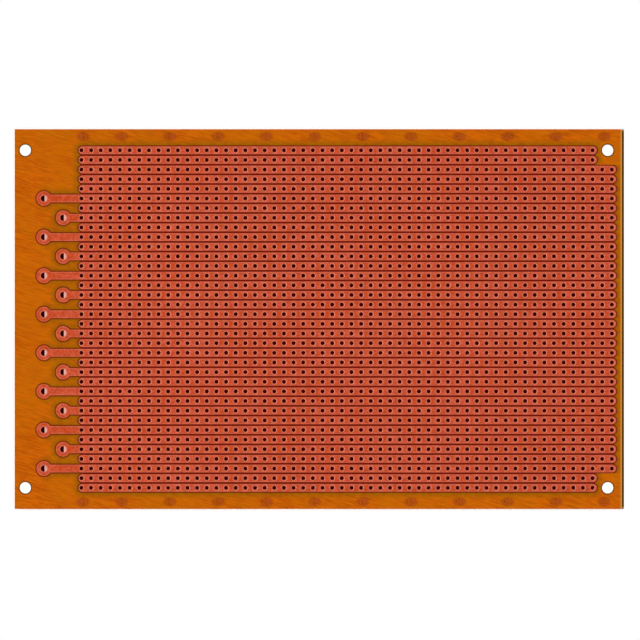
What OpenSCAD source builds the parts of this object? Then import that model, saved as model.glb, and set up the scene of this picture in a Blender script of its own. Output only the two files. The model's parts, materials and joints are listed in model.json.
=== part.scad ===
// Prototype board of the stripboard kind, lying flat with its copper side up.
// A punched laminate card carries parallel copper strips on a hole grid. Every second
// strip near the left edge runs into a round pad for a two-row edge connector.
// Millimetres. The origin is under the middle of the card, on the surface it lies on.
// +X runs along the strips to the right, +Y across them, +Z up out of the copper side.

/* [Card] */
// Length of the card, along the strips
board_l = 160; // [120:1:220]
// Width of the card, across the strips
board_w = 100; // [88:1:150]
// Thickness of the laminate
board_t = 1.5; // [0.8:0.1:3.2]

/* [Hole grid] */
// Distance from one hole to the next, along and across the strips
pitch = 2.54; // [2.3:0.01:2.8]
// Diameter of the component holes
hole_d = 1; // [0.6:0.05:1.3]
// First hole column to the left edge of the card
grid_left = 17.6; // [15:0.1:30]
// Least distance from the last hole column to the right edge of the card
grid_right = 2.6; // [2:0.1:10]
// Least distance from an outer row to the edge of the card beside it
grid_side = 5.4; // [3:0.1:10]

/* [Copper] */
// Thickness of the copper foil
foil_t = 0.035; // [0.018:0.001:0.105]
// Depth that the foil's rough back is pressed into the laminate
foil_seat = 0.01; // [0.005:0.001:0.015]
// Slack around the foil in its seat, and around the print in its pocket
seat_slack = 0.01; // [0.005:0.001:0.02]
// Width of the rim that the punch pressed down around each hole in a strip
rim_w = 0.18; // [0.05:0.01:0.2]
// Bare gap between two strips
strip_gap = 0.51; // [0.3:0.01:0.8]
// How far a strip without a contact reaches out before its first hole centre
strip_start = 0.76; // [0.7:0.01:1.2]
// How far a strip reaches past its last hole centre
strip_reach = 1.12; // [1:0.01:1.5]

/* [Edge connector] */
// Contacts of the connector, in two staggered rows
contacts = 15; // [1:1:15]
// Strips between the lower edge of the grid and the first contact
first_contact = 2; // [0:1:4]
// Far row of contacts to the left edge of the card
contact_left = 7.7; // [6:0.1:8]
// Distance between the two rows of contacts
contact_row_gap = 5.08; // [4.5:0.01:5.5]
// Diameter of a contact's copper pad
pad_d = 3.9; // [3:0.1:4.2]
// Diameter of the hole in a contact's pad
pad_hole_d = 1.65; // [1:0.05:2]

/* [Fixing holes] */
// Diameter of the fixing holes
fixing_d = 3; // [2.5:0.1:3.4]
// Left fixing holes to the left edge of the card
fixing_left = 2.8; // [2.3:0.1:4]
// Right fixing holes to the right edge of the card
fixing_right = 3.8; // [2.3:0.1:5]
// Diameter kept free of copper for the head of a fixing screw
screw_head_d = 5; // [4:0.1:6]

/* [Print on the underside] */
// Thickness of the printed ink, which lies flush in the underside
ink_t = 0.02; // [0.01:0.005:0.05]
// Width of the bar that runs from a contact's ring towards the hole grid
mark_bar_w = 2.1; // [1:0.1:2.5]
// Clear space between the end of that bar and the first hole
mark_clear = 0.2; // [0.1:0.05:1]

/* [Hidden] */
// Slack for counting pitches, so that a rounding error drops no column or row
count_slack = 0.001;
last_column = floor((board_l - grid_left - grid_right) / pitch + count_slack);
last_row = floor((board_w - 2 * grid_side) / pitch + count_slack);
strip_w = pitch - strip_gap;
foil_z = board_t - foil_seat;
// Middle of the round end of a strip without a contact
round_start = column_x(0) - strip_start + strip_w / 2;
// Contacts sit on every second strip and change between the far and the near row
contact_step = 2;
last_contact = min(contacts - 1, floor((last_row - first_contact) / contact_step));
fixing_y = row_y(0);
fixing_x = [fixing_left - board_l / 2, board_l / 2 - fixing_right];
// Strips that pass a fixing screw stop at the last hole that its head leaves free
screw_stop_x = fixing_x[1] - screw_head_d / 2;
last_short_column =
    min(last_column, floor((screw_stop_x - strip_reach - column_x(0)) / pitch));
// How far a cutting tool reaches past the face that it opens
cut_over = 1;
$fn = 32;

// Columns count from the left, rows from the top and contacts from the bottom, all from 0
function column_x(column) = -board_l / 2 + grid_left + column * pitch;
function row_y(row) = (last_row / 2 - row) * pitch;
function strip_name(row) = str("strip_", row < 9 ? "0" : "", row + 1);
function strip_is_short(row) = fixing_y - abs(row_y(row)) < (screw_head_d + strip_w) / 2;
function strip_last_column(row) = strip_is_short(row) ? last_short_column : last_column;
function contact_row(contact) = last_row - first_contact - contact_step * contact;
function contact_is_far(contact) = contact % 2 == 0;
function contact_x(contact) =
    contact_left - board_l / 2 + (contact_is_far(contact) ? 0 : contact_row_gap);
function contact_y(contact) = row_y(contact_row(contact));

// A bar between two points on one row, square at both ends
module bar(from_x, to_x, y, width) {
    translate([from_x, y - width / 2]) square([to_x - from_x, width]);
}

module grid_holes(row) {
    for (column = [0 : strip_last_column(row)])
        translate([column_x(column), row_y(row)]) circle(d = hole_d);
}

// Cutters for the holes of a strip, which widen by the rim from the foil's back to its face
module rim_cones(row) {
    for (column = [0 : strip_last_column(row)])
        translate([column_x(column), row_y(row), foil_z - foil_t])
            cylinder(h = 3 * foil_t, d1 = hole_d - 2 * rim_w, d2 = hole_d + 4 * rim_w);
}

module contact_holes() {
    for (contact = [0 : last_contact])
        translate([contact_x(contact), contact_y(contact)]) circle(d = pad_hole_d);
}

module fixing_holes() {
    for (x = fixing_x, side = [-1, 1])
        translate([x, side * fixing_y]) circle(d = fixing_d);
}

// A round ring and a bar that runs from it towards the grid
module contact_shape(contact, ring_d, bar_w, bar_end) {
    x = contact_x(contact);
    y = contact_y(contact);
    translate([x, y]) circle(d = ring_d);
    bar(x, bar_end, y, bar_w);
}

// The print under the contacts, larger by the slack all round for its pocket
module mark_shapes(slack = 0) {
    bar_end = column_x(0) - hole_d / 2 - mark_clear + slack;
    for (contact = [0 : last_contact])
        contact_shape(contact, pad_d + 2 * slack, mark_bar_w + 2 * slack, bar_end);
}

// The strip itself, round at both ends
module strip_shape(row, width) {
    round_end = column_x(strip_last_column(row)) + strip_reach - strip_w / 2;
    for (x = [round_start, round_end]) translate([x, row_y(row)]) circle(d = width);
    bar(round_start, round_end, row_y(row), width);
}

// Outline of a strip with the pad of its contact where it has one, larger by the slack
// all round for its seat
module copper_shape(row, slack = 0) {
    width = strip_w + 2 * slack;
    strip_shape(row, width);
    for (contact = [0 : last_contact])
        if (contact_row(contact) == row)
            contact_shape(contact, pad_d + 2 * slack, width, round_start);
}

// Punched laminate card, with a shallow seat for each strip and for the print
module base_board() {
    color("peru") difference() {
        linear_extrude(board_t) difference() {
            square([board_l, board_w], center = true);
            for (row = [0 : last_row]) grid_holes(row);
            contact_holes();
            fixing_holes();
        }
        translate([0, 0, foil_z]) linear_extrude(cut_over)
            for (row = [0 : last_row]) copper_shape(row, seat_slack);
        translate([0, 0, -cut_over]) linear_extrude(cut_over + ink_t) mark_shapes(seat_slack);
    }
}

// One copper strip
module strip(row) {
    color("chocolate") difference() {
        translate([0, 0, foil_z]) linear_extrude(foil_t) difference() {
            copper_shape(row);
            contact_holes();
        }
        rim_cones(row);
    }
}

// Black print under every contact, flush with the underside
module contact_marks() {
    color("black") linear_extrude(ink_t) difference() {
        mark_shapes();
        contact_holes();
    }
}

base_board();
for (row = [0 : last_row])
    strip(row);
contact_marks();
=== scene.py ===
"""Looks of a punched prototype board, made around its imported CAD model.

The laminate card, the copper strips and the contact print are CAD nodes, which keep
their shape and get their finish here. The etched numerals and the fine print are
modelled here. Lengths are in metres, and those of a finish are in millimetres.
"""
import json
import math

import bmesh
import bpy
from mathutils import Euler, Matrix, Vector


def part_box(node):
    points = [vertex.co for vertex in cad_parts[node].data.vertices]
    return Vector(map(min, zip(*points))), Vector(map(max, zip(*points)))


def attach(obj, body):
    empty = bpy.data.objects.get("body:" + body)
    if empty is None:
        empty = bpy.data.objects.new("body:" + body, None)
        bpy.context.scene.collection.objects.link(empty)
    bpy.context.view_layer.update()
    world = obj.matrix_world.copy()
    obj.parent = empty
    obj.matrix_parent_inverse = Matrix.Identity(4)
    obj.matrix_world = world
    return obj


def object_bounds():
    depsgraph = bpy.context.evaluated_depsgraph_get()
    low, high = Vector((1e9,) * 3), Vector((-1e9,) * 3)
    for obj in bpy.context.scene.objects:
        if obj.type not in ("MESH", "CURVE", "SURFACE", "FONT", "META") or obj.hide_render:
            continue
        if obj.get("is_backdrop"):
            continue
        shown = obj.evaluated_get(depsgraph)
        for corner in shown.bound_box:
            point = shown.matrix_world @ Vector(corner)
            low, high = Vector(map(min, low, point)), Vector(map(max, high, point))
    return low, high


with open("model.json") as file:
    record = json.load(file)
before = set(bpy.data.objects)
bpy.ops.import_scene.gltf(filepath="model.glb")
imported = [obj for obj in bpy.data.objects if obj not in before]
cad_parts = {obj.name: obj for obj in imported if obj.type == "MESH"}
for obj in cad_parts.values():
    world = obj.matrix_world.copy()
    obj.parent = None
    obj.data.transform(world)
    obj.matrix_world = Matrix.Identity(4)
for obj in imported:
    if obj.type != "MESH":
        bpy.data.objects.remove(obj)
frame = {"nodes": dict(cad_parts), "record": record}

bl_info = {
    "name": "Prototype board",
    "version": (1, 0, 0),
    "blender": (4, 5, 0),
    "location": "View3D > Sidebar > Board",
    "description": "Finishes and fine print of a punched prototype board",
    "category": "Object",
}

MM = 0.001
CARD = "base_board"
STRIPS = sorted(name for name in frame["nodes"] if name.startswith("strip_"))
CONTACT_PRINT = "contact_marks"
NUMERAL_STEP = 5

# Where a tone of the finish, a painted shade or a painted highlight sets in and where it is full,
# in millimetres from its place
FOIL_SHADE = (2.2, 0.3)
FOIL_OUTLINE_SHADE = (0.5, 0.15)
SHADE_LEFT_END = (-2.0, 2.5)
GAP_SHADE_INSIDE = (0.1, -0.4)
RIGHT_EDGE_PALE = (-0.6, -0.35)
FIXING_RING = (0.45, 0.15)
CRUSHED_RIM = (0.34, 0.16)
HOLE_HIGHLIGHT = (0.55, 0.15)
CONTACT_HIGHLIGHT = (0.45, 0.0)
OUTLINE_HIGHLIGHT = (-0.32, -0.12)
PRESSED_RIM = (0.2, 0.1)
HOLE_EDGE_SHADE = (0.07, 0.04)
# Depth behind a face of the card that still counts as that face
FACE_DEPTH = 0.03
# How far the painted shade of a gap reaches along the strips' round ends, in half strip widths
GAP_SHADE_REACH = 0.7
# Reach of the shade round an etched number, along and across
NUMBER_SHADE = (2.22, 1.54)
# The paper fibres' lean, and how widely and how far they wave
FIBRE_LEAN = math.radians(15)
WAVE_SCALE = 0.09
WAVE_SWING = 12.0


def srgb(red, green, blue):
    """Linear colour of an 8-bit screen colour."""

    def linear(value):
        value /= 255
        return value / 12.92 if value <= 0.04045 else ((value + 0.055) / 1.055) ** 2.4

    return tuple(linear(value) for value in (red, green, blue))


class Layout:
    """Where the CAD puts the card, hole grid, strips and contacts, in metres."""

    def __init__(self):
        self.low, self.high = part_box(CARD)
        boxes = [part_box(name) for name in STRIPS]
        mounts = {mount["name"]: mount for mount in frame["record"]["mounts"]}
        self.place_strips(boxes)
        self.place_columns(mounts["component_grid"])
        self.place_pads(boxes)
        self.contact_radius = mounts["far_contact_holes"]["dims"]["hole_r_mm"] * MM
        self.place_fixing_holes(mounts["corner_holes"])

    def place_strips(self, boxes):
        """Rows and ends of the strips. Only the outer ones stop short on the right."""
        widths = [high.y - low.y for low, high in boxes]
        self.strip_width, self.pad_width = min(widths), max(widths)
        self.rows = [(low.y + high.y) / 2 for low, high in boxes]
        self.pitch = (self.rows[0] - self.rows[-1]) / (len(self.rows) - 1)
        self.plain_left = max(low.x for low, _ in boxes)
        self.round_start = self.plain_left + self.strip_width / 2
        self.end_x = max(high.x for _, high in boxes)
        self.short_end_x = boxes[0][1].x
        self.short_rows = sum(high.x < self.end_x - MM for _, high in boxes) // 2
        self.foil_top = boxes[0][1].z

    def place_columns(self, grid):
        """Hole columns, which the grid's mount has its middle on."""
        self.columns = math.floor((self.end_x - self.plain_left) / self.pitch) + 1
        run = (self.columns - 1) * self.pitch
        self.first_x = grid["pos_m"][0] - run / 2
        self.last_x = self.first_x + run
        self.short_last_x = self.column_before(self.short_end_x)

    def place_pads(self, boxes):
        """Middles of the contact pads, counted from the lowest, which is a far one."""
        pads = [
            (low.x + self.pad_width / 2, y)
            for (low, _), y in zip(boxes, self.rows)
            if low.x < self.plain_left - MM
        ]
        pads.reverse()
        self.far_pads, self.near_pads = pads[::2], pads[1::2]

    def place_fixing_holes(self, corners):
        """Places of the four corner holes, and their radius."""
        dims = corners["dims"]
        middle, spread = corners["pos_m"][0], dims["spacing_x_mm"] * MM / 2
        self.fixing_x = [middle - spread, middle + spread]
        self.fixing_y = dims["spacing_y_mm"] * MM / 2
        self.fixing_radius = dims["hole_r_mm"] * MM

    def column_before(self, x):
        """Last hole column that lies at least a quarter pitch before x."""
        return self.first_x + self.pitch * math.floor((x - self.first_x) / self.pitch - 0.25)

    def column(self, number):
        """X of a hole column, counted from 1."""
        return self.first_x + (number - 1) * self.pitch

    def numbered_columns(self):
        """Column numbers that are printed and etched: the first and every fifth."""
        return [1] + list(range(NUMERAL_STEP, self.columns + 1, NUMERAL_STEP))


LAYOUT = Layout()


def length(name, description, default):
    """A length that a user can change."""
    return bpy.props.FloatProperty(
        name=name, description=description, default=default, min=0, precision=5, unit="LENGTH"
    )


def colour(name, description, default):
    """A colour that a user can change."""
    return bpy.props.FloatVectorProperty(
        name=name, description=description, default=default, min=0, max=1, size=3, subtype="COLOR"
    )


def share(name, description, default):
    """A share from 0 to 1 that a user can change."""
    return bpy.props.FloatProperty(
        name=name, description=description, default=default, min=0, max=1, subtype="FACTOR"
    )


class BoardSizes(bpy.types.PropertyGroup):
    """Sizes of the pieces that are modelled here."""

    hole_width: length("Hole", "Diameter of a component hole", 0.001)
    etched_height: length("Etched numeral", "Height of an etched column number", 0.0019)
    etched_margin: length("Etched margin", "Card edge to the middle of an etched number", 0.0019)
    etched_shift: length("Etched shift", "Etched number to the right of its column", 0.00045)
    etched_sunk: length("Etched seat", "Depth of an etched number's foil in the card", 0.00001)
    print_height: length("Column number", "Height of a printed column number", 0.0024)
    print_margin: length("Print margin", "Card edge to the middle of a printed number", 0.0021)
    contact_height: length("Contact number", "Height of a printed contact number", 0.0022)
    contact_margin: length("Contact margin", "Left edge to the middle of a contact number", 0.0024)
    ink_proud: length("Ink proud", "How far the fine print stands proud of the card", 0.00002)
    ink_sunk: length("Ink sunk", "How far the fine print soaks into the card", 0.00001)
    dash_length: length("Dash length", "Length of a guide dash between two holes", 0.001)
    dash_width: length("Dash width", "Width of a guide dash", 0.00047)
    bracket_drop: length("Bracket", "Lowest contact to the bracket below it", 0.0066)
    bracket_tick: length("Bracket tick", "Length of the bracket's ticks and stem", 0.0012)


class BoardFinish(bpy.types.PropertyGroup):
    """Colours and gloss of the board."""

    laminate: colour("Laminate", "Paper laminate, copper side", srgb(208, 103, 4))
    laminate_streak: colour("Streak", "Darker fibres of the laminate", srgb(164, 70, 0))
    laminate_yellow: colour("Yellow", "Yellower patches of the laminate", srgb(188, 104, 0))
    laminate_red: colour("Red", "Redder specks of the laminate", srgb(204, 84, 0))
    # Painted shade of the copper on the laminate near it, with greener specks
    laminate_olive_shade: colour("Olive", "Laminate that the copper shades", srgb(140, 76, 0))
    laminate_green_shade: colour("Green", "Greener specks of that laminate", srgb(146, 94, 0))
    # Painted shade in the gaps between two strips
    laminate_gap_shade: colour("Gap", "Laminate between two strips", srgb(106, 0, 0))
    # Painted shade right beside the copper, also round the etched numbers
    laminate_outline_shade: colour("Outline", "Laminate right beside the copper", srgb(100, 8, 0))
    # A pale line along the right edge only
    sheared: colour("Sheared edge", "Pale line along the sheared right edge", srgb(196, 132, 56))
    # A darker ring round each fixing hole
    fixing_ring_dark: colour("Drilled edge", "Laminate round a fixing hole", srgb(84, 40, 0))
    underside: colour("Underside", "Paper laminate, component side", srgb(208, 118, 22))
    underside_streak: colour("Underside streak", "Its darker fibres", srgb(188, 96, 12))
    crushed: colour("Crushed rim", "Laminate crushed round a punched hole", srgb(250, 214, 158))
    cut_edge: colour("Cut edge", "Paper layers on the cut edge", srgb(214, 150, 70))
    # Painted shade on the laminate inside the holes, darker than on its cut outer edge
    hole_wall_shade: colour("Hole wall", "Laminate inside the holes", srgb(120, 24, 0))
    copper: colour("Copper", "Bare copper foil", srgb(178, 65, 26))
    copper_patch: colour("Copper patch", "Pinker patches of the foil", srgb(182, 80, 55))
    copper_speck: colour("Copper speck", "Small tarnished specks of the foil", srgb(152, 51, 26))
    # Pale pressed rim, partly the foil's own colour and partly painted sheen; also the colour of
    # the painted highlights
    copper_rim_and_sheen: colour("Copper rim", "Foil pressed down round a hole", srgb(206, 142, 121))
    # Painted shade in a thin dark line at the lip of each hole in the foil
    copper_hole_edge_shade: colour("Punched edge", "Edge of a hole in the foil", srgb(84, 14, 4))
    etched: colour("Etched numerals", "Thin tarnished foil of the numerals", srgb(158, 69, 24))
    ink: colour("Ink", "Black print", srgb(10, 4, 4))
    ink_thin: colour("Thin ink", "Print that is thin and dusty", srgb(40, 24, 16))
    laminate_gloss: share("Laminate roughness", "Roughness of the laminate", 0.42)
    copper_gloss: share("Copper roughness", "Roughness of the copper", 0.41)
    ink_gloss: share("Ink roughness", "Roughness of the print", 0.6)


class Graph:
    """Adds nodes to a material or a node group, and links them on the way."""

    def __init__(self, tree):
        self.tree = tree

    def node(self, kind, inputs=None, **settings):
        node = self.tree.nodes.new(kind)
        for name, value in settings.items():
            setattr(node, name, value)
        for socket, value in (inputs or {}).items():
            self.feed(node.inputs[socket], value)
        return node

    def feed(self, socket, value):
        if isinstance(value, bpy.types.NodeSocket):
            self.tree.links.new(value, socket)
        else:
            socket.default_value = value

    def math(self, operation, *values):
        inputs = dict(enumerate(values))
        return self.node("ShaderNodeMath", inputs, operation=operation).outputs[0]

    def in_turn(self, operation, values):
        """Takes the values in turn, each with the result so far."""
        result = values[0]
        for value in values[1:]:
            result = self.math(operation, result, value)
        return result

    def total(self, *values):
        return self.in_turn("ADD", values)

    def product(self, *values):
        return self.in_turn("MULTIPLY", values)

    def least(self, *values):
        return self.in_turn("MINIMUM", values)

    def greatest(self, *values):
        return self.in_turn("MAXIMUM", values)

    def minus(self, value, taken):
        return self.math("SUBTRACT", value, taken)

    def over(self, value, divisor):
        return self.math("DIVIDE", value, divisor)

    def size(self, value):
        """The value without its sign."""
        return self.math("ABSOLUTE", value)

    def below(self, value, limit):
        """1 where the value is below the limit."""
        return self.math("LESS_THAN", value, limit)

    def above(self, value, limit):
        """1 where the value is above the limit."""
        return self.math("GREATER_THAN", value, limit)

    def wrap(self, value, step):
        """How far the value lies from the nearest whole step."""
        return self.math("WRAP", value, step / 2, -step / 2)

    def fade(self, value, start, end):
        """Goes smoothly from 0 at start to 1 at end."""
        inputs = {0: value, 1: start, 2: end}
        node = self.node("ShaderNodeMapRange", inputs, interpolation_type="SMOOTHSTEP")
        return node.outputs[0]

    def fade_at(self, value, place, offsets):
        """Fades between two offsets from a place."""
        start, end = offsets
        return self.fade(value, place + start, place + end)

    def blend(self, factor, first, second):
        inputs = {0: factor, 6: opaque(first), 7: opaque(second)}
        return self.node("ShaderNodeMix", inputs, data_type="RGBA").outputs[2]

    def tint(self, base, colour, mask, strength):
        """Lays a colour over the base where the mask is 1, as strongly as given."""
        return self.blend(self.product(mask, strength), base, colour)

    def separate(self, vector):
        return self.node("ShaderNodeSeparateXYZ", {0: vector}).outputs[:3]

    def span(self, x, y):
        """Length of a vector in the plane."""
        vector = self.node("ShaderNodeCombineXYZ", {0: x, 1: y}).outputs[0]
        return self.node("ShaderNodeVectorMath", {0: vector}, operation="LENGTH").outputs["Value"]

    def noise(self, place, scale=1.0, detail=3.0, roughness=0.5):
        inputs = {"Vector": place, "Scale": scale, "Detail": detail, "Roughness": roughness}
        return self.node("ShaderNodeTexNoise", inputs).outputs[0]

    def position(self):
        """Place on the board, in millimetres."""
        coordinates = self.node("ShaderNodeTexCoord").outputs["Object"]
        inputs = {0: coordinates, "Scale": 1 / MM}
        return self.node("ShaderNodeVectorMath", inputs, operation="SCALE").outputs[0]

    def effect(self, name, position, **inputs):
        """Outputs of a shared effect at a position."""
        named = {socket.capitalize(): value for socket, value in inputs.items()}
        named["Position"] = position
        return self.node("ShaderNodeGroup", named, node_tree=shared_effect(name)).outputs

    def distance(self, name, position):
        return self.effect(name, position)["Distance"]

    def fibres(self, position, **inputs):
        return self.effect("paper_fibres", position, **inputs)["Fac"]

    def patches(self, position, **inputs):
        return self.effect("soft_patches", position, **inputs)["Fac"]


def opaque(value):
    """A colour as a node socket takes it."""
    return value if isinstance(value, bpy.types.NodeSocket) else (*tuple(value)[:3], 1)


def new_group(name, inputs, outputs):
    """A shader node group that takes a position and more sockets, given as name: default."""
    tree = bpy.data.node_groups.new(name, "ShaderNodeTree")
    inputs = {"Position": (0.0, 0.0, 0.0), **inputs}
    for sockets, side in ((inputs, "INPUT"), (outputs, "OUTPUT")):
        for socket, default in sockets.items():
            kind = "NodeSocketVector" if isinstance(default, tuple) else "NodeSocketFloat"
            made = tree.interface.new_socket(name=socket, in_out=side, socket_type=kind)
            made.default_value = default
    graph = Graph(tree)
    return tree, graph, graph.node("NodeGroupInput").outputs, graph.node("NodeGroupOutput").inputs


def off_run(graph, along, start, end):
    """How far a place lies before the start or past the end of a run."""
    return graph.greatest(graph.minus(start, along), graph.minus(along, end), 0.0)


def off_row(graph, y, first, last, step):
    """Distance to the nearest of equal rows from first down to last."""
    to_row = graph.size(graph.wrap(graph.minus(y, first), step))
    middle, half = (first + last) / 2, (first - last) / 2
    return graph.greatest(to_row, graph.minus(graph.size(graph.minus(y, middle)), half))


def is_short_row(graph, y):
    """1 on the outer rows, which end before the fixing screws."""
    limit = (LAYOUT.rows[LAYOUT.short_rows] + LAYOUT.pitch / 2) / MM
    return graph.above(graph.size(y), limit)


def grid_hole_group():
    """Distance to the centre of the nearest component hole, in millimetres."""
    tree, graph, given, result = new_group("grid_hole_distance", {}, {"Distance": 0.0})
    x, y, _ = graph.separate(given["Position"])
    pitch, first, last = (v / MM for v in (LAYOUT.pitch, LAYOUT.first_x, LAYOUT.last_x))
    across = off_row(graph, y, LAYOUT.rows[0] / MM, LAYOUT.rows[-1] / MM, pitch)
    to_column = graph.size(graph.wrap(graph.minus(x, first), pitch))
    short = graph.product(is_short_row(graph, y), last - LAYOUT.short_last_x / MM)
    along = graph.greatest(to_column, off_run(graph, x, first, graph.minus(last, short)))
    graph.feed(result["Distance"], graph.span(along, across))
    return tree


def pad_rows():
    """Centre and end rows of the far and the near contacts, and their step, in millimetres."""
    for pads in (LAYOUT.far_pads, LAYOUT.near_pads):
        ys = [y / MM for _, y in pads]
        yield pads[0][0] / MM, max(ys), min(ys), abs(ys[1] - ys[0])


def contact_hole_group():
    """Distance to the centre of the nearest contact hole, in millimetres."""
    tree, graph, given, result = new_group("contact_hole_distance", {}, {"Distance": 0.0})
    x, y, _ = graph.separate(given["Position"])
    distances = []
    for pad_x, top, bottom, step in pad_rows():
        across = off_row(graph, y, top, bottom, step)
        distances.append(graph.span(graph.minus(x, pad_x), across))
    graph.feed(result["Distance"], graph.least(*distances))
    return tree


def pad_outlines(graph, x, y, first, half):
    """Distances to the outlines of the round pads, and to those of their necks."""
    for pad_x, top, bottom, step in pad_rows():
        across = off_row(graph, y, top, bottom, step)
        round_pad = graph.span(graph.minus(x, pad_x), across)
        yield graph.minus(round_pad, LAYOUT.pad_width / MM / 2)
        neck = graph.span(off_run(graph, x, pad_x, first), across)
        yield graph.minus(neck, half)


def copper_outline_group():
    """Distance to the copper's outline in millimetres, negative on it, and the painted shade in
    the strips' gaps.
    """
    tree, graph, given, result = new_group(
        "copper_outline_distance", {}, {"Distance": 0.0, "Gap_shade": 0.0}
    )
    x, y, _ = graph.separate(given["Position"])
    first, half = LAYOUT.round_start / MM, LAYOUT.strip_width / MM / 2
    top, bottom = LAYOUT.rows[0] / MM, LAYOUT.rows[-1] / MM
    across = off_row(graph, y, top, bottom, LAYOUT.pitch / MM)
    short = graph.product(is_short_row(graph, y), (LAYOUT.end_x - LAYOUT.short_end_x) / MM)
    beyond = off_run(graph, x, first, graph.minus(LAYOUT.end_x / MM - half, short))
    strip = graph.minus(graph.span(beyond, across), half)
    nearest = graph.least(strip, *pad_outlines(graph, x, y, first, half))
    graph.feed(result["Distance"], nearest)
    outside = graph.minus(graph.size(y), top)
    reach = graph.greatest(outside, graph.minus(beyond, GAP_SHADE_REACH * half))
    graph.feed(result["Gap_shade"], graph.fade(reach, *GAP_SHADE_INSIDE))
    return tree


def fibre_group():
    """Wavy fibres that run along the card and sink a little to the right."""
    tree, graph, given, result = new_group(
        "paper_fibres", {"Length": 6.0, "Width": 0.8, "Waves": 0.1, "Softness": 0.4}, {"Fac": 0.0}
    )
    lean = {"Vector": given["Position"], "Rotation": (0, 0, FIBRE_LEAN)}
    turned = graph.node("ShaderNodeMapping", lean).outputs[0]
    wave = graph.minus(graph.noise(turned, scale=WAVE_SCALE, detail=2.0), 0.5)
    shift = graph.product(wave, given["Waves"], WAVE_SWING)
    x, y, z = graph.separate(turned)
    along = graph.over(x, given["Length"])
    across = graph.over(graph.total(y, shift), given["Width"])
    stretched = graph.node("ShaderNodeCombineXYZ", {0: along, 1: across, 2: z}).outputs[0]
    half = graph.product(given["Softness"], 0.5)
    start, end = graph.minus(0.5, half), graph.total(0.5, half)
    graph.feed(result["Fac"], graph.fade(graph.noise(stretched), start, end))
    return tree


def patch_group():
    """Soft irregular patches, for tarnish, tone and wear."""
    tree, graph, given, result = new_group(
        "soft_patches", {"Size": 2.0, "Start": 0.35, "End": 0.65}, {"Fac": 0.0}
    )
    scale = graph.over(1.0, given["Size"])
    noise = graph.noise(given["Position"], scale=scale, roughness=0.55)
    graph.feed(result["Fac"], graph.fade(noise, given["Start"], given["End"]))
    return tree


def shared_effect(name):
    """One of the shared node groups, built on first use."""
    makers = {
        "grid_hole_distance": grid_hole_group,
        "contact_hole_distance": contact_hole_group,
        "copper_outline_distance": copper_outline_group,
        "paper_fibres": fibre_group,
        "soft_patches": patch_group,
    }
    return bpy.data.node_groups.get(name) or makers[name]()


def new_material(name):
    """A node material with its shader, and the graph that feeds it."""
    material = bpy.data.materials.new(name)
    material.use_nodes = True
    shader = material.node_tree.nodes["Principled BSDF"]
    return material, Graph(material.node_tree), shader.inputs


def add_bump(graph, shader, height):
    """Relief from a height in millimetres."""
    bump = graph.node("ShaderNodeBump", {"Height": height, "Distance": MM, "Strength": 1.0})
    graph.feed(shader["Normal"], bump.outputs[0])


def laminate_material(sizes, finish):
    """Paper laminate: amber and streaky, with painted shade beside the copper, pale where punched.
    """
    material, graph, shader = new_material("paper_laminate")
    position = graph.position()
    fibres = graph.fibres(position)
    fine = graph.fibres(position, length=2.6, width=0.34, waves=0.05, softness=0.3)
    streaks = graph.total(graph.product(fibres, 0.3), graph.product(fine, 0.7))
    face = copper_side_colour(graph, position, streaks, sizes, finish)
    under = component_side_colour(graph, position, streaks, sizes, finish)
    wall = cut_colour(graph, position, finish)
    _, _, z = graph.separate(position)
    side = graph.blend(graph.above(z, FACE_DEPTH), under, wall)
    on_face = graph.above(z, LAYOUT.high.z / MM - FACE_DEPTH)
    graph.feed(shader["Base Color"], graph.blend(on_face, side, face))
    roughness = graph.total(finish.laminate_gloss, graph.product(streaks, 0.14))
    graph.feed(shader["Roughness"], roughness)
    shader["Specular IOR Level"].default_value = 0.2
    shader["Specular Tint"].default_value = (1, 0.6, 0.15, 1)
    relief = graph.total(graph.product(fine, 0.004), graph.product(fibres, 0.003))
    add_bump(graph, shader, relief)
    return material


def copper_side_colour(graph, position, streaks, sizes, finish):
    """The laminate round and between the strips, with painted shade where the strips shade it."""
    x, y, _ = graph.separate(position)
    outline = graph.effect("copper_outline_distance", position)
    specks = graph.patches(position, size=1.6)
    face = graph.blend(streaks, finish.laminate, finish.laminate_streak)
    face = graph.tint(face, finish.laminate_yellow, graph.patches(position, size=16.0), 0.5)
    face = graph.tint(face, finish.laminate_red, specks, 0.3)
    # The painted shade of the copper fades out to the left of the contacts
    among_copper = graph.fade_at(x, LAYOUT.far_pads[0][0] / MM, SHADE_LEFT_END)
    shade = graph.product(graph.fade(outline["Distance"], *FOIL_SHADE), among_copper)
    painted_olive = graph.blend(specks, finish.laminate_olive_shade, finish.laminate_green_shade)
    face = graph.tint(face, painted_olive, shade, 0.8)
    face = graph.tint(face, finish.laminate_outline_shade, number_shade(graph, x, y, sizes), 0.42)
    # Painted shade in a thin dark line beside the copper's outline
    beside = graph.fade(outline["Distance"], *FOIL_OUTLINE_SHADE)
    face = graph.tint(face, finish.laminate_outline_shade, beside, 0.9)
    # Painted shade: the laminate between two strips is darkened where the copper shades it
    face = graph.blend(outline["Gap_shade"], face, finish.laminate_gap_shade)
    # Paler in a thin line along the right edge only
    sheared = graph.fade_at(x, LAYOUT.high.x / MM, RIGHT_EDGE_PALE)
    face = graph.tint(face, finish.sheared, sheared, 0.85)
    # Darker in a thin ring round each fixing hole
    from_fixing = fixing_distance(graph, x, y)
    fixing_ring_dark = graph.fade_at(from_fixing, LAYOUT.fixing_radius / MM, FIXING_RING)
    return graph.tint(face, finish.fixing_ring_dark, fixing_ring_dark, 0.85)


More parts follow.
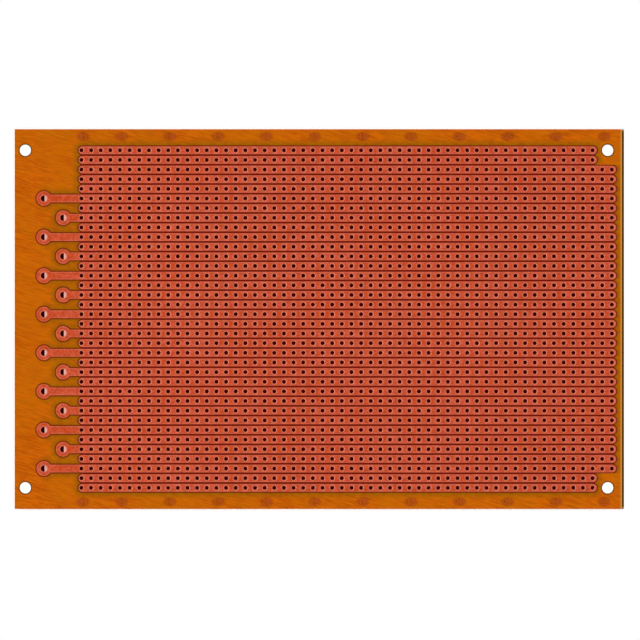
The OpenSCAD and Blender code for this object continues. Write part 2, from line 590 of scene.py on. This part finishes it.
def number_shade(graph, x, y, sizes):
    """Where the etched numbers shade the laminate under and beside them."""
    shift = sizes.etched_shift / MM
    first, *others = (LAYOUT.column(number) / MM + shift for number in LAYOUT.numbered_columns())
    off_first = graph.size(graph.minus(x, first))
    off_others = off_row(graph, x, others[-1], others[0], NUMERAL_STEP * LAYOUT.pitch / MM)
    along = graph.over(graph.least(off_others, off_first), NUMBER_SHADE[0])
    line = (LAYOUT.high.y - sizes.etched_margin) / MM
    off_line = graph.size(graph.minus(graph.size(y), line))
    across = graph.over(off_line, NUMBER_SHADE[1])
    return graph.fade(graph.span(along, across), 1.0, 0.5)


def fixing_distance(graph, x, y):
    """Distance to the centre of the nearest fixing hole, in millimetres."""
    offsets = [graph.size(graph.minus(x, place / MM)) for place in LAYOUT.fixing_x]
    across = graph.minus(graph.size(y), LAYOUT.fixing_y / MM)
    return graph.span(graph.least(*offsets), across)


def component_side_colour(graph, position, streaks, sizes, finish):
    """The plain side of the laminate, crushed to a ragged pale rim round each hole."""
    under = graph.blend(streaks, finish.underside, finish.underside_streak)
    ragged = graph.patches(position, size=0.5, start=0.2, end=0.7)
    from_hole = graph.distance("grid_hole_distance", position)
    from_rim = graph.total(from_hole, graph.product(ragged, 0.12))
    crushed = graph.fade_at(from_rim, sizes.hole_width / MM / 2, CRUSHED_RIM)
    return graph.tint(under, finish.crushed, crushed, 0.85)


def cut_colour(graph, position, finish):
    """Paper layers on the card's edge, and painted shade on the walls of its holes."""
    x, y, _ = graph.separate(position)
    stretch = {"Vector": position, "Scale": (0.15, 0.15, 9.0)}
    layers = graph.noise(graph.node("ShaderNodeMapping", stretch).outputs[0])
    edge = graph.blend(graph.fade(layers, 0.35, 0.65), finish.cut_edge, finish.laminate_streak)
    behind_x = graph.minus(LAYOUT.high.x / MM, graph.size(x))
    behind_y = graph.minus(LAYOUT.high.y / MM, graph.size(y))
    # The walls of the holes get painted shade, and the outer edge its paper layers
    inside = graph.above(graph.least(behind_x, behind_y), FACE_DEPTH)
    return graph.blend(inside, edge, finish.hole_wall_shade)


def copper_material(sizes, finish):
    """Bare foil: patchy, faintly brushed, drawn down to a pale rim at each hole; painted
    highlights and shade at its edges.
    """
    material, graph, shader = new_material("bare_copper_foil")
    position = graph.position()
    patches = graph.patches(position, size=1.7)
    brushed = graph.fibres(position, length=4.0, width=0.12, waves=0.1)
    radius = sizes.hole_width / MM / 2
    from_hole = graph.distance("grid_hole_distance", position)
    rim = graph.fade_at(from_hole, radius, PRESSED_RIM)
    # Painted shade at the edge of each hole in the foil
    punched = graph.fade_at(from_hole, radius, HOLE_EDGE_SHADE)
    foil = foil_colour(graph, position, patches, finish)
    # Painted highlight round the holes and along the foil's outline
    foil = graph.blend(painted_foil_highlight(graph, position, from_hole, radius), foil, finish.copper_rim_and_sheen)
    # The pale pressed rim round each hole, partly the foil's own colour and partly painted sheen
    foil = graph.tint(foil, finish.copper_rim_and_sheen, rim, 0.5)
    # Painted shade at the hole's edge
    foil = graph.tint(foil, finish.copper_hole_edge_shade, punched, 0.9)
    _, y, _ = graph.separate(position)
    in_margin = graph.above(graph.size(y), (LAYOUT.rows[0] + LAYOUT.pitch / 2) / MM)
    graph.feed(shader["Base Color"], graph.blend(in_margin, foil, finish.etched))
    shader["Metallic"].default_value = 1.0
    worn = graph.total(graph.product(patches, 0.08), graph.product(brushed, 0.05))
    roughness = graph.total(finish.copper_gloss, worn, graph.product(rim, 0.25))
    graph.feed(shader["Roughness"], roughness)
    add_bump(graph, shader, graph.product(brushed, 0.002))
    return material


def foil_colour(graph, position, patches, finish):
    """Foil away from the holes, with pinker patches and tarnished specks."""
    broad = graph.patches(position, size=14.0)
    specks = graph.patches(position, size=0.55, start=0.42, end=0.6)
    tone = graph.total(graph.product(patches, 0.65), graph.product(broad, 0.35))
    foil = graph.blend(tone, finish.copper, finish.copper_patch)
    return graph.tint(foil, finish.copper_speck, specks, 0.6)


def painted_foil_highlight(graph, position, from_hole, radius):
    """A faint painted highlight round the holes and along the foil's outline."""
    from_contact = graph.distance("contact_hole_distance", position)
    outline = graph.distance("copper_outline_distance", position)
    round_contact = graph.fade_at(from_contact, LAYOUT.contact_radius / MM, CONTACT_HIGHLIGHT)
    return graph.total(
        graph.product(graph.fade_at(from_hole, radius, HOLE_HIGHLIGHT), 0.14),
        graph.product(round_contact, 0.3),
        graph.product(graph.fade(outline, *OUTLINE_HIGHLIGHT), 0.16),
    )


def ink_material(_, finish):
    """Black screen print, a little thin and dusty in patches."""
    material, graph, shader = new_material("black_print_ink")
    position = graph.position()
    patches = graph.patches(position, size=0.9)
    graph.feed(shader["Base Color"], graph.tint(finish.ink, finish.ink_thin, patches, 0.25))
    roughness = graph.total(finish.ink_gloss, graph.product(patches, 0.15))
    graph.feed(shader["Roughness"], roughness)
    shader["Specular IOR Level"].default_value = 0.12
    grain = graph.patches(position, size=0.15)
    add_bump(graph, shader, graph.product(grain, 0.003))
    return material


def shared_material(name):
    """One of the board's materials, built on first use."""
    makers = {
        "paper_laminate": laminate_material,
        "bare_copper_foil": copper_material,
        "black_print_ink": ink_material,
    }
    scene = bpy.context.scene
    return bpy.data.materials.get(name) or makers[name](scene.board_sizes, scene.board_finish)


def dress(node, material):
    """Gives a CAD node a finish in every slot."""
    slots = frame["nodes"][node].material_slots
    if not slots:
        raise RuntimeError(f"{node} has no material slot")
    for slot in slots:
        slot.material = shared_material(material)


def deselect_all():
    """The frame leaves its nodes selected, and an operator acts on all that is."""
    bpy.ops.object.select_all(action="DESELECT")


def activate(*pieces):
    """Selects these pieces alone, the last of them active."""
    deselect_all()
    for piece in pieces:
        piece.select_set(True)
        bpy.context.view_layer.objects.active = piece


def close_up(piece):
    """Merges doubled corners and turns every face outwards."""
    activate(piece)
    bpy.ops.object.mode_set(mode="EDIT")
    bpy.ops.mesh.select_all(action="SELECT")
    bpy.ops.mesh.remove_doubles(threshold=0.0001)
    bpy.ops.mesh.normals_make_consistent(inside=False)
    bpy.ops.object.mode_set(mode="OBJECT")


def join(pieces, name):
    """Makes one piece of several."""
    if not pieces:
        raise RuntimeError(f"nothing to join as {name}")
    activate(*pieces)
    if len(pieces) > 1:
        bpy.ops.object.join()
    piece = bpy.context.view_layer.objects.active
    piece.name = name
    piece.data.name = name
    return piece


def unite(piece, other):
    """Takes another closed piece into this one."""
    activate(piece)
    union = piece.modifiers.new("Union", "BOOLEAN")
    union.operation = "UNION"
    union.solver = "EXACT"
    union.object = other
    bpy.ops.object.modifier_apply(modifier=union.name)
    bpy.data.objects.remove(other)


def repeat(piece, count, step):
    """Copies the piece in a row."""
    activate(piece)
    array = piece.modifiers.new("Row", "ARRAY")
    array.count = count
    array.use_relative_offset = False
    array.use_constant_offset = True
    array.constant_offset_displace = step
    bpy.ops.object.modifier_apply(modifier=array.name)


def move_to(piece, place):
    """Moves the piece's mesh to a place."""
    piece.data.transform(Matrix.Translation(place))


def finish_piece(piece, material):
    """Puts the piece's place in its mesh, and hands it to the frame."""
    activate(piece)
    bpy.ops.object.transform_apply(location=True, rotation=True, scale=True)
    piece.data.materials.clear()
    piece.data.materials.append(shared_material(material))
    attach(piece, "root")


def rounded_bar(length_x, length_y, low, high, corner):
    """A flat bar with rounded corners between two heights, centred on the origin."""
    deselect_all()
    bpy.ops.mesh.primitive_cube_add(
        size=1, location=(0, 0, (low + high) / 2), scale=(length_x, length_y, high - low)
    )
    bar = bpy.context.view_layer.objects.active
    bpy.ops.object.transform_apply(location=True, rotation=True, scale=True)
    bpy.ops.object.mode_set(mode="EDIT")
    bpy.ops.mesh.select_mode(type="EDGE")
    bpy.ops.mesh.select_all(action="DESELECT")
    mesh = bmesh.from_edit_mesh(bar.data)
    for edge in mesh.edges:
        run = edge.verts[1].co - edge.verts[0].co
        edge.select_set(abs(run.z) > abs(run.x) + abs(run.y))
    bmesh.update_edit_mesh(bar.data)
    bpy.ops.mesh.bevel(offset=corner, segments=2)
    bpy.ops.object.mode_set(mode="OBJECT")
    return bar


def print_heights(sizes):
    """Lowest and highest level of the fine print on the underside."""
    return LAYOUT.low.z - sizes.ink_proud, LAYOUT.low.z + sizes.ink_sunk


def finish_print(pieces, name):
    """Makes one inked piece of the fine print's pieces."""
    finish_piece(join(pieces, name), "black_print_ink")


class Digits:
    """The ten digits, modelled once each, one unit high and one unit thick."""

    ADVANCE = 0.84
    CURVE_STEPS = 3
    # Width of an added stroke in a plain digit, and its growth with the weight
    STROKE_WIDTH = 0.09
    STROKE_GROWTH = 1.7
    STROKE_CORNER = 0.03
    # Strokes that the font lacks, a zero's slash and a one's flag: length, lean and place
    STROKES = {
        "0": (0.82, math.radians(26), (0, 0, 0)),
        "1": (0.36, math.radians(42), (-0.1, 0.36, 0)),
    }

    def __init__(self, weight):
        """Weight widens every stroke, as a share of the font's size."""
        self.weight = weight
        self.meshes = {}

    def mesh(self, digit):
        if digit not in self.meshes:
            self.meshes[digit] = self.model(digit)
        return self.meshes[digit]

    def model(self, digit):
        deselect_all()
        bpy.ops.object.text_add()
        text = bpy.context.view_layer.objects.active
        text.data.body = digit
        text.data.resolution_u = self.CURVE_STEPS
        text.data.extrude = 0.5
        text.data.offset = self.weight
        bpy.ops.object.convert(target="MESH")
        shape = bpy.context.view_layer.objects.active
        close_up(shape)
        corners = [Vector(corner) for corner in shape.bound_box]
        low, high = corners[0], corners[6]
        tall = high.y - low.y
        shape.data.transform(Matrix.Translation(-(low + high) / 2))
        shape.data.transform(Matrix.Diagonal((1 / tall, 1 / tall, 1, 1)))
        if digit in self.STROKES:
            unite(shape, self.stroke(*self.STROKES[digit]))
        mesh = shape.data.copy()
        bpy.data.objects.remove(shape)
        return mesh

    def stroke(self, long, lean, place):
        """A slanted stroke, as thick as a digit."""
        width = self.STROKE_WIDTH + self.STROKE_GROWTH * self.weight
        stroke = rounded_bar(width, long, -0.5, 0.5, self.STROKE_CORNER)
        stroke.data.transform(Matrix.Rotation(-lean, 4, "Z"))
        move_to(stroke, place)
        return stroke

    def write(self, number, height, centre, turn, low, high):
        """Pieces of a number. Turn holds the number's right, up and outward directions."""
        pieces = []
        across = self.ADVANCE * height
        placing = Matrix(turn).transposed().to_4x4()
        for index, digit in enumerate(number):
            mesh = self.mesh(digit).copy()
            offset = (index - (len(number) - 1) / 2) * across
            mesh.transform(Matrix.Diagonal((height, height, high - low, 1)))
            mesh.transform(Matrix.Translation((offset, 0, 0)))
            mesh.transform(placing)
            mesh.transform(Matrix.Translation((*centre, (low + high) / 2)))
            piece = bpy.data.objects.new("digit", mesh)
            bpy.context.scene.collection.objects.link(piece)
            pieces.append(piece)
        return pieces


ETCHED_DIGITS = Digits(0.012)
PRINTED_DIGITS = Digits(0.032)
FROM_ABOVE = ((1, 0, 0), (0, 1, 0), (0, 0, 1))
FROM_BELOW = ((-1, 0, 0), (0, 1, 0), (0, 0, -1))
UP_FROM_BELOW = ((0, 1, 0), (1, 0, 0), (0, 0, -1))


class BOARD_OT_laminate(bpy.types.Operator):
    """Give the punched card its paper laminate finish"""

    bl_idname = "board.laminate"
    bl_label = "Laminate card"

    def execute(self, context):
        dress(CARD, "paper_laminate")
        return {"FINISHED"}


class BOARD_OT_copper(bpy.types.Operator):
    """Give every strip its bare copper finish"""

    bl_idname = "board.copper"
    bl_label = "Copper strips"

    def execute(self, context):
        for strip in STRIPS:
            dress(strip, "bare_copper_foil")
        return {"FINISHED"}


class BOARD_OT_contact_print(bpy.types.Operator):
    """Give the print under the contacts its ink"""

    bl_idname = "board.contact_print"
    bl_label = "Contact print"

    def execute(self, context):
        dress(CONTACT_PRINT, "black_print_ink")
        return {"FINISHED"}


class BOARD_OT_etched_numbers(bpy.types.Operator):
    """Model the column numbers that are etched in both margins of the copper side"""

    bl_idname = "board.etched_numbers"
    bl_label = "Etched column numbers"

    def execute(self, context):
        sizes = context.scene.board_sizes
        line = LAYOUT.high.y - sizes.etched_margin
        low, high = LAYOUT.high.z - sizes.etched_sunk, LAYOUT.foil_top
        for name, y in (("etched_numbers_top", line), ("etched_numbers_bottom", -line)):
            pieces = []
            for column in LAYOUT.numbered_columns():
                centre = (LAYOUT.column(column) + sizes.etched_shift, y)
                pieces += ETCHED_DIGITS.write(
                    f"{column:02d}", sizes.etched_height, centre, FROM_ABOVE, low, high
                )
            finish_piece(join(pieces, name), "bare_copper_foil")
        return {"FINISHED"}


class BOARD_OT_printed_numbers(bpy.types.Operator):
    """Model the column and contact numbers printed on the component side"""

    bl_idname = "board.printed_numbers"
    bl_label = "Printed numbers"

    def execute(self, context):
        sizes = context.scene.board_sizes
        low, high = print_heights(sizes)
        y = LAYOUT.low.y + sizes.print_margin
        pieces = []
        for column in LAYOUT.numbered_columns():
            centre = (LAYOUT.column(column), y)
            pieces += PRINTED_DIGITS.write(
                f"{column:02d}", sizes.print_height, centre, FROM_BELOW, low, high
            )
        finish_print(pieces, "printed_column_numbers")
        x = LAYOUT.low.x + sizes.contact_margin
        pieces = []
        for index, (_, y) in enumerate(LAYOUT.far_pads):
            number = str(2 * index + 1)
            pieces += PRINTED_DIGITS.write(
                number, sizes.contact_height, (x, y), UP_FROM_BELOW, low, high
            )
        finish_print(pieces, "printed_contact_numbers")
        return {"FINISHED"}


class BOARD_OT_guide_dashes(bpy.types.Operator):
    """Model the dashed guide lines along every fifth column and every far contact's row"""

    bl_idname = "board.guide_dashes"
    bl_label = "Guide dashes"

    def execute(self, context):
        sizes = context.scene.board_sizes
        low, high = print_heights(sizes)
        corner = sizes.dash_width / 4
        pitch = LAYOUT.pitch
        pieces = []
        for column in LAYOUT.numbered_columns():
            short = LAYOUT.column(column) > LAYOUT.short_last_x + pitch / 2
            skipped = LAYOUT.short_rows if short else 0
            dash = rounded_bar(sizes.dash_width, sizes.dash_length, low, high, corner)
            start = LAYOUT.rows[skipped] - pitch / 2
            move_to(dash, (LAYOUT.column(column), start, 0))
            repeat(dash, len(LAYOUT.rows) - 1 - 2 * skipped, (0, -pitch, 0))
            pieces.append(dash)
        finish_print(pieces, "column_guide_dashes")
        pieces = []
        for _, y in LAYOUT.far_pads:
            dash = rounded_bar(sizes.dash_length, sizes.dash_width, low, high, corner)
            move_to(dash, (LAYOUT.first_x + pitch / 2, y, 0))
            repeat(dash, LAYOUT.columns - 1, (pitch, 0, 0))
            pieces.append(dash)
        finish_print(pieces, "row_guide_dashes")
        return {"FINISHED"}


class BOARD_OT_bracket(bpy.types.Operator):
    """Model the printed bracket under the two contact rows"""

    bl_idname = "board.bracket"
    bl_label = "Bracket"

    def execute(self, context):
        sizes = context.scene.board_sizes
        low, high = print_heights(sizes)
        stroke, tick = sizes.dash_width, sizes.bracket_tick
        (far_x, lowest), near_x = LAYOUT.far_pads[0], LAYOUT.near_pads[0][0]
        y = lowest - sizes.bracket_drop
        middle = (far_x + near_x) / 2
        bar = rounded_bar(near_x - far_x + stroke, stroke, low, high, stroke / 4)
        move_to(bar, (middle, y, 0))
        for x, reach in ((far_x, tick), (near_x, tick), (middle, -tick)):
            limb = rounded_bar(stroke, tick, low, high, stroke / 4)
            move_to(limb, (x, y + reach / 2, 0))
            unite(bar, limb)
        finish_print([bar], "contact_bracket")
        return {"FINISHED"}


class BOARD_OT_stage(bpy.types.Operator):
    """Set the floor, lamp, world and camera"""

    bl_idname = "board.stage"
    bl_label = "Stage"

    # Width and middle of the picture, at the top of the foil
    VIEW_WIDTH = 0.16855
    VIEW_CENTRE = (0.00042, -0.00025)
    LENS = 600
    SENSOR = 36
    # The lamp's place, its lean to the left, its turn to the picture's top and its softness
    LAMP_PLACE = (-0.5, 0.1, 0.8)
    LAMP_TILT = math.radians(45)
    LAMP_TURN = math.radians(3)
    LAMP_ANGLE = math.radians(6)
    # What the lamp and the sky each give a level surface, where 1 is full white
    LAMP_SHARE = 0.8
    SKY_SHARE = 0.23
    FLOOR_SIZE = 5
    FLOOR_GAP = 0.00003
    FLOOR_WHITE = (0.97, 0.97, 0.97)
    BLACK = (0, 0, 0)
    # Painted shade and painted light that the floor glows with through the holes
    COMPONENT_HOLE_SHADE_GLOW = srgb(64, 0, 0)
    CONTACT_HOLE_SHADE_GLOW = srgb(40, 0, 0)
    CONTACT_HOLE_LIT_GLOW = srgb(232, 172, 160)
    # How far it shows that round each hole's middle, and where a contact's shade ends
    COMPONENT_HOLE_REACH = 0.9
    CONTACT_HOLE_REACH = 1.2
    FIXING_HOLE_REACH = 1.8
    CONTACT_HOLE_SHADE = 0.15
    SHADOW_WIDTH = 0.5

    def execute(self, context):
        scene = context.scene
        scene.view_settings.view_transform = "Standard"
        self.add_floor()
        self.add_lamp()
        self.add_world(scene)
        self.add_camera(scene)
        return {"FINISHED"}

    def add_floor(self):
        """A white floor, just below the card."""
        deselect_all()
        place = (0, 0, LAYOUT.low.z - self.FLOOR_GAP)
        bpy.ops.mesh.primitive_plane_add(size=self.FLOOR_SIZE, location=place)
        floor = bpy.context.view_layer.objects.active
        floor.name = "floor"
        bpy.ops.object.transform_apply(location=True, rotation=True, scale=True)
        floor.data.materials.append(self.floor_material())
        floor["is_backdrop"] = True

    def floor_material(self):
        """White all over, with painted shade and light glowing in the holes and a painted shadow
        by the card.
        """
        material, graph, shader = new_material("white_table")
        position = graph.position()
        x, y, _ = graph.separate(position)
        from_grid = graph.distance("grid_hole_distance", position)
        from_contact = graph.distance("contact_hole_distance", position)
        in_grid = graph.below(from_grid, self.COMPONENT_HOLE_REACH)
        in_contact = graph.below(from_contact, self.CONTACT_HOLE_REACH)
        in_fixing = graph.below(fixing_distance(graph, x, y), self.FIXING_HOLE_REACH)
        open_floor, shadow = self.card_shadow(graph, x, y)
        # Black under the holes and in the painted shadow line
        dark = graph.greatest(in_grid, in_contact, shadow)
        graph.feed(shader["Base Color"], graph.blend(dark, self.FLOOR_WHITE, self.BLACK))
        shader["Roughness"].default_value = 0.9
        shader["Specular IOR Level"].default_value = 0.0
        # Painted glows: shade in the component holes, and shade and light in the contact holes
        glow = graph.blend(in_contact, self.BLACK, self.contact_hole_colour(graph, x))
        glow = graph.blend(in_grid, glow, self.COMPONENT_HOLE_SHADE_GLOW)
        graph.feed(shader["Emission Color"], glow)
        shader["Emission Strength"].default_value = 1.0
        path = graph.node("ShaderNodeLightPath").outputs
        bright = graph.product(self.in_sight(graph, path), graph.total(open_floor, in_fixing))
        backdrop = graph.node("ShaderNodeEmission", {"Color": (1, 1, 1, 1)}).outputs[0]
        nodes = material.node_tree.nodes
        inputs = {0: bright, 1: nodes["Principled BSDF"].outputs[0], 2: backdrop}
        lit = graph.node("ShaderNodeMixShader", inputs).outputs[0]
        surface = self.open_from_below(graph, path, lit)
        graph.feed(nodes["Material Output"].inputs["Surface"], surface)
        return material

    def card_shadow(self, graph, x, y):
        """Floor away from the card, and a painted shadow, a black line along its right edge."""
        beyond_x = graph.minus(graph.size(x), LAYOUT.high.x / MM)
        beyond_y = graph.minus(graph.size(y), LAYOUT.high.y / MM)
        open_floor = graph.above(graph.greatest(beyond_x, beyond_y), self.SHADOW_WIDTH)
        # Painted shadow: a black line on the floor along the card's right edge
        right = graph.above(x, LAYOUT.high.x / MM)
        along = graph.below(beyond_y, -self.SHADOW_WIDTH)
        return open_floor, graph.product(right, along, graph.minus(1.0, open_floor))

    def contact_hole_colour(self, graph, x):
        """Painted shade on the side of a contact's hole that lies in the shade of its wall,
        painted light on the other.
        """
        far_x, near_x = (pads[0][0] / MM for pads in (LAYOUT.far_pads, LAYOUT.near_pads))
        offset = graph.wrap(graph.minus(x, far_x), near_x - far_x)
        shade = graph.below(offset, self.CONTACT_HOLE_SHADE)
        return graph.blend(shade, self.CONTACT_HOLE_LIT_GLOW, self.CONTACT_HOLE_SHADE_GLOW)

    def in_sight(self, graph, path):
        """1 for what the camera sees, also in gloss and through glass."""
        rays = (path["Is Camera Ray"], path["Is Glossy Ray"], path["Is Transmission Ray"])
        return graph.least(graph.total(*rays), 1.0)

    def open_from_below(self, graph, path, surface):
        """Lets through what looks or shines up from below the floor."""
        behind = graph.node("ShaderNodeNewGeometry").outputs["Backfacing"]
        close = graph.below(path["Ray Length"], 2 * self.FLOOR_GAP)
        clear = graph.node("ShaderNodeBsdfTransparent").outputs[0]
        inputs = {0: graph.greatest(behind, close), 1: surface, 2: clear}
        return graph.node("ShaderNodeMixShader", inputs).outputs[0]

    def add_lamp(self):
        """A soft lamp high up on the left."""
        deselect_all()
        turn = Euler((0, -self.LAMP_TILT, -self.LAMP_TURN))
        bpy.ops.object.light_add(type="SUN", location=self.LAMP_PLACE, rotation=turn)
        lamp = bpy.context.view_layer.objects.active
        lamp.name = "studio_lamp"
        lamp.data.energy = self.LAMP_SHARE * math.pi / math.cos(self.LAMP_TILT)
        lamp.data.angle = self.LAMP_ANGLE

    def add_world(self, scene):
        """Even light from all round, full from below, and white wherever it is in sight."""
        world = bpy.data.worlds.new("studio")
        world.use_nodes = True
        scene.world = world
        graph = Graph(world.node_tree)
        direction = graph.node("ShaderNodeTexCoord").outputs["Generated"]
        _, _, up = graph.separate(direction)
        path = graph.node("ShaderNodeLightPath").outputs
        white = graph.greatest(graph.below(up, 0.0), self.in_sight(graph, path))
        strength = graph.total(self.SKY_SHARE, graph.product(white, 1 - self.SKY_SHARE))
        background = world.node_tree.nodes["Background"].inputs
        background["Color"].default_value = (1, 1, 1, 1)
        graph.feed(background["Strength"], strength)

    def add_camera(self, scene):
        """A long lens straight above the card, as wide as the photo."""
        deselect_all()
        height = LAYOUT.foil_top + self.LENS / self.SENSOR * self.VIEW_WIDTH
        bpy.ops.object.camera_add(location=(*self.VIEW_CENTRE, height), rotation=(0, 0, 0))
        camera = bpy.context.view_layer.objects.active
        camera.name = "camera"
        camera.data.lens = self.LENS
        camera.data.sensor_width = self.SENSOR
        camera.data.clip_start = 0.01
        camera.data.clip_end = 50
        scene.camera = camera


OPERATORS = (
    BOARD_OT_laminate,
    BOARD_OT_copper,
    BOARD_OT_contact_print,
    BOARD_OT_etched_numbers,
    BOARD_OT_printed_numbers,
    BOARD_OT_guide_dashes,
    BOARD_OT_bracket,
    BOARD_OT_stage,
)


class BOARD_PT_panel(bpy.types.Panel):
    """Lists the board's pieces, sizes and finishes"""

    bl_label = "Prototype board"
    bl_space_type = "VIEW_3D"
    bl_region_type = "UI"
    bl_category = "Board"

    def draw(self, context):
        for operator in OPERATORS:
            self.layout.operator(operator.bl_idname)
        for group in (context.scene.board_sizes, context.scene.board_finish):
            column = self.layout.column()
            for name in group.__annotations__:
                column.prop(group, name)


CLASSES = (BoardSizes, BoardFinish, *OPERATORS, BOARD_PT_panel)


def register():
    for cls in CLASSES:
        bpy.utils.register_class(cls)
    bpy.types.Scene.board_sizes = bpy.props.PointerProperty(type=BoardSizes)
    bpy.types.Scene.board_finish = bpy.props.PointerProperty(type=BoardFinish)


def unregister():
    del bpy.types.Scene.board_finish
    del bpy.types.Scene.board_sizes
    for cls in reversed(CLASSES):
        bpy.utils.unregister_class(cls)


def corners():
    """The whole object's box as plain lists."""
    return [list(corner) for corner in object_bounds()]


def main():
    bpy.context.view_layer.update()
    register()
    bpy.ops.board.laminate()
    bpy.ops.board.copper()
    bpy.ops.board.contact_print()
    bpy.ops.board.etched_numbers()
    bpy.ops.board.printed_numbers()
    bpy.ops.board.guide_dashes()
    bpy.ops.board.bracket()
    bpy.ops.board.stage()


if __name__ == "__main__":
    main()
